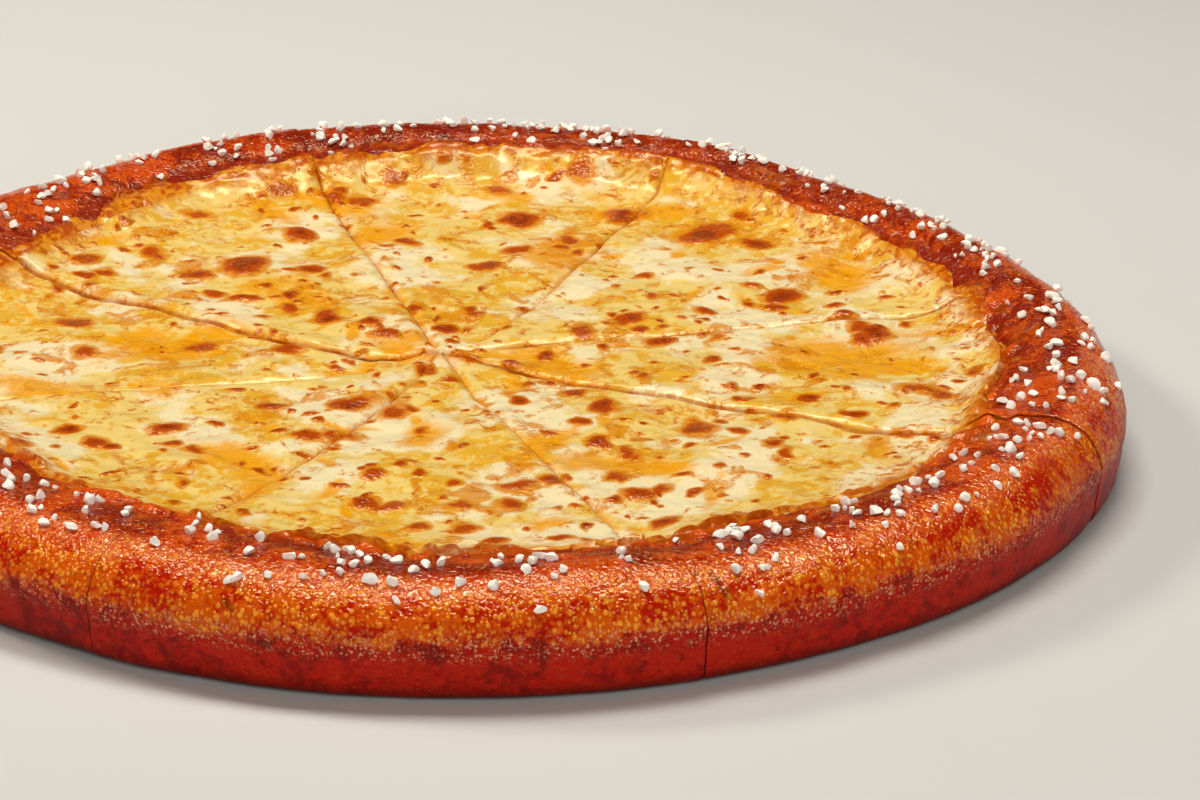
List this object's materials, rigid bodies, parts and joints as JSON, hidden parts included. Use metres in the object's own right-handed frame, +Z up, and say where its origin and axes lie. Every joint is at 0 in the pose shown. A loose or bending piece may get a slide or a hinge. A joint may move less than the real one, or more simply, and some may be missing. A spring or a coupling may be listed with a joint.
{
  "type": "sliced cheese pizza with a salted pretzel crust",
  "caption": "Round cheese pizza with a thick glazed pretzel rim under coarse salt, cut into slices that lie together.",
  "frame": {"origin": "on the surface that the pizza lies on, under the middle of its extents", "axes": "+Z up; +X to the right and +Y away from the viewer of the picture"},
  "size_m": [0.3598, 0.361, 0.0304],
  "materials": {
    "crust": "glazed baked dough, satin to glossy",
    "cheese": "melted and toasted, slightly oily",
    "salt": "milky coarse grains"
  },
  "bodies": {
    "root": {"crust_1": "crust", "crust_2": "crust", "crust_3": "crust", "crust_4": "crust", "crust_5": "crust", "crust_6": "crust", "crust_7": "crust", "crust_8": "crust", "cheese_1": "cheese", "cheese_2": "cheese", "cheese_3": "cheese", "cheese_4": "cheese", "cheese_5": "cheese", "cheese_6": "cheese", "cheese_7": "cheese", "cheese_8": "cheese"}
  },
  "joints": []
}
